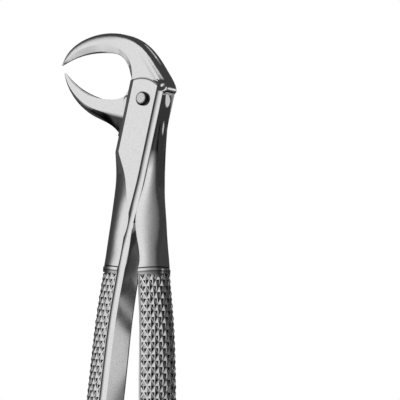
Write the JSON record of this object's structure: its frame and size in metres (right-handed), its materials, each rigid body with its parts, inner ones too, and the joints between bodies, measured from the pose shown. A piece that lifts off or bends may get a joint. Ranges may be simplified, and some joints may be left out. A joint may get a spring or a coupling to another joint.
{
  "type": "extraction forceps",
  "caption": "Dental extraction forceps: two curved, pointed beaks set across knurled handles, turning on a flat box joint with a domed pin.",
  "frame": {"origin": "where the joint pin's axis leaves the rear face of the box joint", "axes": "+Z along the joint pin towards its domed head, -Y towards the handles' ends, -X towards the beaks' tips"},
  "size_m": [0.0495, 0.1655, 0.0135],
  "materials": {
    "steel": "satin",
    "pin_steel": "polished"
  },
  "bodies": {
    "box_side": {"box_half": "steel", "joint_rivet": "pin_steel"},
    "tongue_side": {"tongue_half": "steel"}
  },
  "joints": [
    {"name": "beak_hinge", "type": "hinge", "parent": "box_side", "child": "tongue_side", "pos_m": [0, 0, 0.00525], "axis": [0, 0, 1], "range_deg": [0, 22]}
  ]
}
